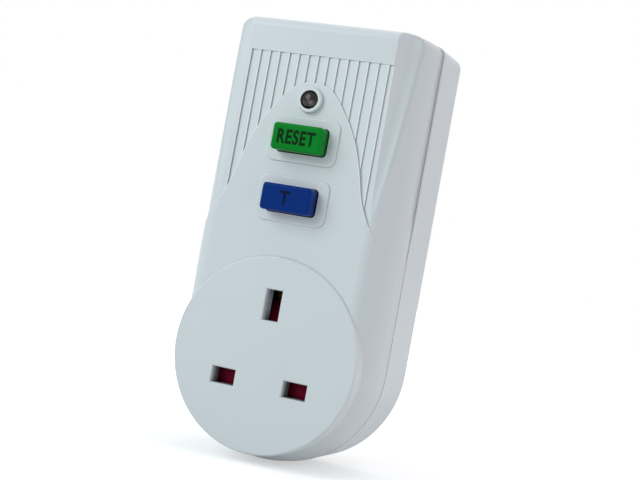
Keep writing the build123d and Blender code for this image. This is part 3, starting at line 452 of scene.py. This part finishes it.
springs = {
    "reset_spring": {"name": "resetSpring", "joint": "reset_press", "travel": 2.5,
                     "along": (0, 1, 0), "heldHigh": True},
    "test_spring": {"name": "testSpring", "joint": "test_press", "travel": 2.0,
                    "along": (0, 1, 0), "heldHigh": True},
    "carrier_spring": {"name": "carrierSpring", "joint": "contact_close", "travel": 2.5,
                       "along": (0, 1, 0), "heldHigh": True},
    "shutter_spring": {"name": "shutterSpring", "joint": "shutter_open", "travel": 5.9,
                       "along": (0, 0, 1), "heldHigh": False},
    "plunger_spring": {"name": "plungerSpring", "joint": "trip_pull", "travel": 1.3,
                       "along": (0, 0, 1), "heldHigh": True},
}
for node, spring in springs.items():
    shorteningSpring(node, spring)


# Pad-printed ink: nearly black over the button's colour, a touch uneven where the pad lifted
def legendInk(legend):
    material, tree = newMaterial("pad-printed ink on " + legend["on"])
    place = addNode(tree, "ShaderNodeTexCoord").outputs["Object"]
    patch = addNode(tree, "ShaderNodeTexNoise", Vector=place, Scale=1 / (legend["patch"] * mm), Detail=3.0)
    tone = addNode(tree, "ShaderNodeMix", {"data_type": "RGBA"}, _0=patch.outputs["Fac"],
                   _6=linearColour(legend["colour"]), _7=linearColour(legend["thin"]))
    shader = addNode(tree, "ShaderNodeBsdfPrincipled", Base_Color=tone.outputs[2],
                     Roughness=legend["rough"], Specular_IOR_Level=legend["shine"])
    finishMaterial(tree, shader.outputs["BSDF"])
    return material


# A printed legend on a button's face: text made a mesh, sized in mm and set flat on the face
def buttonLegend(name, legend, button):
    text = bpy.data.curves.new(name, "FONT")
    text.body = legend["words"]
    text.offset = legend["weight"]
    text.space_character = legend["spacing"]
    text.resolution_u = 6
    holder = bpy.data.objects.new(name + "Text", text)
    mesh = bpy.data.meshes.new_from_object(holder)
    bpy.data.objects.remove(holder)
    low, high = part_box(button)
    xs = [v.co.x for v in mesh.vertices]
    ys = [v.co.y for v in mesh.vertices]
    middle = Vector(((min(xs) + max(xs)) / 2, (min(ys) + max(ys)) / 2, 0))
    wide = legend["width"] * mm / (max(xs) - min(xs))
    tall = legend["height"] * mm / (max(ys) - min(ys))
    face = Vector((legend["right"] * mm, low.y - legend["proud"] * mm, (low.z + high.z) / 2))
    place = Matrix.Translation(face) @ Matrix.Rotation(radians(90), 4, "X")
    mesh.transform(place @ Matrix.Diagonal((wide, tall, 1, 1)) @ Matrix.Translation(-middle))
    mesh.materials.append(legendInk(legend))
    addPiece(name, mesh, button)


buttonLegend("resetLegend", {
    "words": "RESET", "width": 11.5, "height": 4.2, "weight": 0.034, "spacing": 1.1, "right": 0.0,
    "proud": 0.01, "slot": "green_button", "on": "green", "colour": "#06240F", "thin": "#0A3014",
    "patch": 0.6, "rough": 0.5, "shine": 0.05,
}, "reset_button")
buttonLegend("testLegend", {
    "words": "T", "width": 3.0, "height": 4.0, "weight": 0.02, "spacing": 1.0, "right": -0.2,
    "proud": 0.01, "slot": "blue_button", "on": "blue", "colour": "#04102A", "thin": "#061636",
    "patch": 0.6, "rough": 0.5, "shine": 0.05,
}, "test_button")
print("legends printed")


# 1 for what the camera sees, straight or by a mirror or through glass, else 0
def directlySeen(tree):
    ray = addNode(tree, "ShaderNodeLightPath")
    seen = addNode(tree, "ShaderNodeMath", {"operation": "MAXIMUM"}, _0=ray.outputs["Is Camera Ray"],
                   _1=ray.outputs["Is Glossy Ray"])
    clear = addNode(tree, "ShaderNodeMath", {"operation": "MAXIMUM"}, _0=seen.outputs["Value"],
                    _1=ray.outputs["Is Transmission Ray"])
    return clear.outputs["Value"]


# A pale paper floor just under the housing, lifted to white further off, that keeps the shadow.
# The sizes and the reach of the lift are in metres, the drop and the grain in mm
def paleFloor():
    values = {"size": 3.0, "colour": "#DCDDDF", "nearLift": 0.48, "farLift": 1.0, "near": 0.03,
              "far": 0.22, "drop": 0.2, "grain": 4, "smooth": 0.8, "dull": 0.9, "shine": 0.1}
    bm = bmesh.new()
    bmesh.ops.create_circle(bm, cap_ends=True, segments=64, radius=values["size"])
    mesh = bpy.data.meshes.new("floor")
    bm.to_mesh(mesh)
    bm.free()
    mesh.transform(Matrix.Translation((0, 0, cadBox[0][2] - values["drop"] * mm)))
    material, tree = newMaterial("pale floor")
    seen = directlySeen(tree)
    place = addNode(tree, "ShaderNodeTexCoord").outputs["Object"]
    grain = addNode(tree, "ShaderNodeTexNoise", Vector=place, Scale=1 / (values["grain"] * mm))
    away = addNode(tree, "ShaderNodeVectorMath", {"operation": "LENGTH"}, _0=place)
    rise = addNode(tree, "ShaderNodeMapRange", {"interpolation_type": "SMOOTHSTEP"},
                   Value=away.outputs["Value"], From_Min=values["near"], From_Max=values["far"],
                   To_Min=values["nearLift"], To_Max=values["farLift"])
    rough = addNode(tree, "ShaderNodeMapRange", Value=grain.outputs["Fac"], To_Min=values["smooth"],
                    To_Max=values["dull"])
    paper = addNode(tree, "ShaderNodeBsdfPrincipled", Base_Color=linearColour(values["colour"]),
                    Roughness=rough.outputs["Result"], Specular_IOR_Level=values["shine"])
    lift = addNode(tree, "ShaderNodeMath", {"operation": "MULTIPLY"}, _0=seen, _1=rise.outputs["Result"])
    glow = addNode(tree, "ShaderNodeEmission", Strength=lift.outputs["Value"])
    both = addNode(tree, "ShaderNodeAddShader", _0=paper.outputs["BSDF"], _1=glow.outputs["Emission"])
    finishMaterial(tree, both.outputs["Shader"])
    mesh.materials.append(material)
    floor = bpy.data.objects.new("floor", mesh)
    bpy.context.scene.collection.objects.link(floor)


# Large soft lamps round the camera's side, placed and sized in metres, and a plain sky that the
# camera sees as white
def studioLight():
    lamps = {
        "keyLamp": {"place": (-0.65, -0.95, 0.65), "size": 0.95, "power": 7.5, "tint": "#F2FFFE"},
        "sideLamp": {"place": (1.05, 0.02, 0.45), "size": 0.8, "power": 2.3, "tint": "#FFF3F0"},
        "topLamp": {"place": (0.1, 0.25, 1.1), "size": 0.9, "power": 3.4, "tint": "#FFFFFF"},
    }
    aim = Vector((0, -0.02, 0.04))
    sky = {"colour": "#F7FAFF", "strength": 0.42}
    for name, lamp in lamps.items():
        light = bpy.data.lights.new(name, "AREA")
        light.shape = "DISK"
        light.size = lamp["size"]
        light.energy = lamp["power"]
        light.color = linearColour(lamp["tint"])[:3]
        stand = bpy.data.objects.new(name, light)
        stand.location = lamp["place"]
        stand.rotation_mode = "QUATERNION"
        stand.rotation_quaternion = (Vector(lamp["place"]) - aim).to_track_quat("Z", "Y")
        bpy.context.scene.collection.objects.link(stand)
    world = bpy.data.worlds.new("studio")
    world.use_nodes = True
    tree = world.node_tree
    tree.nodes.clear()
    soft = addNode(tree, "ShaderNodeBackground", Color=linearColour(sky["colour"]), Strength=sky["strength"])
    white = addNode(tree, "ShaderNodeBackground", Color=linearColour("#FFFFFF"), Strength=1.0)
    pick = addNode(tree, "ShaderNodeMixShader", _0=directlySeen(tree), _1=soft.outputs["Background"],
                   _2=white.outputs["Background"])
    addNode(tree, "ShaderNodeOutputWorld", Surface=pick.outputs["Shader"])
    bpy.context.scene.world = world


# The camera at the photograph's angle: turned round the object, a little below level, and tilted.
# Angles are in degrees, the lens and its sensor in mm, the rest in metres
def photoCamera():
    values = {"azimuth": 21.85, "elevation": -1.25, "tilt": 10.37, "distance": 0.3753, "lens": 75.3,
              "sensor": 36.0, "nearest": 0.01, "target": (0.00927, -0.03826, 0.04264)}
    turned = Matrix.Rotation(radians(values["azimuth"]), 3, "Z")
    towards = turned @ Matrix.Rotation(-radians(values["elevation"]), 3, "X") @ Vector((0, -1, 0))
    data = bpy.data.cameras.new("photoCamera")
    data.lens = values["lens"]
    data.sensor_width = values["sensor"]
    data.clip_start = values["nearest"]
    camera = bpy.data.objects.new("photoCamera", data)
    camera.rotation_mode = "QUATERNION"
    tilt = Quaternion((0, 0, 1), radians(values["tilt"]))
    camera.rotation_quaternion = towards.to_track_quat("Z", "Y") @ tilt
    camera.location = Vector(values["target"]) + towards * values["distance"]
    bpy.context.scene.collection.objects.link(camera)
    bpy.context.scene.camera = camera


paleFloor()
studioLight()
photoCamera()
bpy.context.scene.view_settings.view_transform = "Standard"
print("stage, lamps and camera set")
